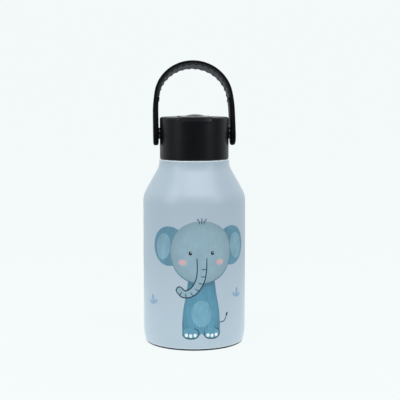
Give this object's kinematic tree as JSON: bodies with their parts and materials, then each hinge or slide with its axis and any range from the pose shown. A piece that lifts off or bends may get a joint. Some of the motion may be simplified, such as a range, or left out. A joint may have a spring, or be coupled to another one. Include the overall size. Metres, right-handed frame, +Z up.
{
  "type": "insulated kids drinking bottle",
  "caption": "Small double-walled steel bottle with a screw lid, a flip cap over a drinking spout, a straw and a swinging carry bow.",
  "frame": {"origin": "centre of the standing face, on the flask's axis", "axes": "+Z up along the flask's axis, -Y towards the side one drinks from, the carry bow's pivots along X"},
  "size_m": [0.07, 0.07, 0.1932],
  "materials": {
    "powder_coat": "fine powder coat, pale blue",
    "vessel_steel": "electropolished steel",
    "base_steel": "brushed steel",
    "cover_steel": "brushed steel disc",
    "solder_glass": "dark solder glass",
    "getter_metal": "sintered metal",
    "silicone": "milky silicone",
    "liner_plastic": "black polypropylene",
    "lid_plastic": "satin black polypropylene",
    "silicone_spout": "milky silicone",
    "stem_plastic": "natural polypropylene",
    "straw_plastic": "clear polypropylene",
    "silicone_valve": "milky silicone",
    "washer_plastic": "black acetal",
    "cap_plastic": "satin black polypropylene",
    "silicone_pad": "grey silicone",
    "pin_steel": "ground steel",
    "bow_plastic": "satin black polypropylene",
    "grip_rubber": "soft black moulded rubber"
  },
  "bodies": {
    "flask": {"outer_shell": "powder_coat", "inner_vessel": "vessel_steel", "base_plate": "base_steel", "base_cover": "cover_steel", "vacuum_seal": "solder_glass", "getter": "getter_metal"},
    "lid_seal": {"mouth_gasket": "silicone"},
    "lid": {"lid_shell": "lid_plastic", "lid_liner": "liner_plastic", "mouthpiece": "silicone_spout", "straw_stem": "stem_plastic", "straw": "straw_plastic", "vent_valve": "silicone_valve", "pivot_washer_left": "washer_plastic", "pivot_washer_right": "washer_plastic"},
    "flip_cap": {"flip_cap": "cap_plastic", "cap_seal": "silicone_pad", "hinge_pin": "pin_steel"},
    "carry_bow": {"handle_bow": "bow_plastic", "handle_grip": "grip_rubber"}
  },
  "joints": [
    {"name": "lid_lift", "type": "slide", "parent": "flask", "child": "lid_seal", "axis": [0, 0, 1], "range_m": [0, 0.0061]},
    {"name": "lid_turn", "type": "hinge", "parent": "lid_seal", "child": "lid", "pos_m": [0, 0, 0.1375], "axis": [0, 0, 1], "range_deg": [0, 540]},
    {"name": "cap_flip", "type": "hinge", "parent": "lid", "child": "flip_cap", "pos_m": [0, 0.009, 0.15345], "axis": [-1, 0, 0], "range_deg": [0, 100]},
    {"name": "bow_swing", "type": "hinge", "parent": "lid", "child": "carry_bow", "pos_m": [0, 0, 0.1435], "axis": [1, 0, 0], "range_deg": [-112, 148]}
  ],
  "couplings": [
    {"joint": "lid_lift", "follows": "lid_turn", "m_per_rad": 0.00063662}
  ]
}
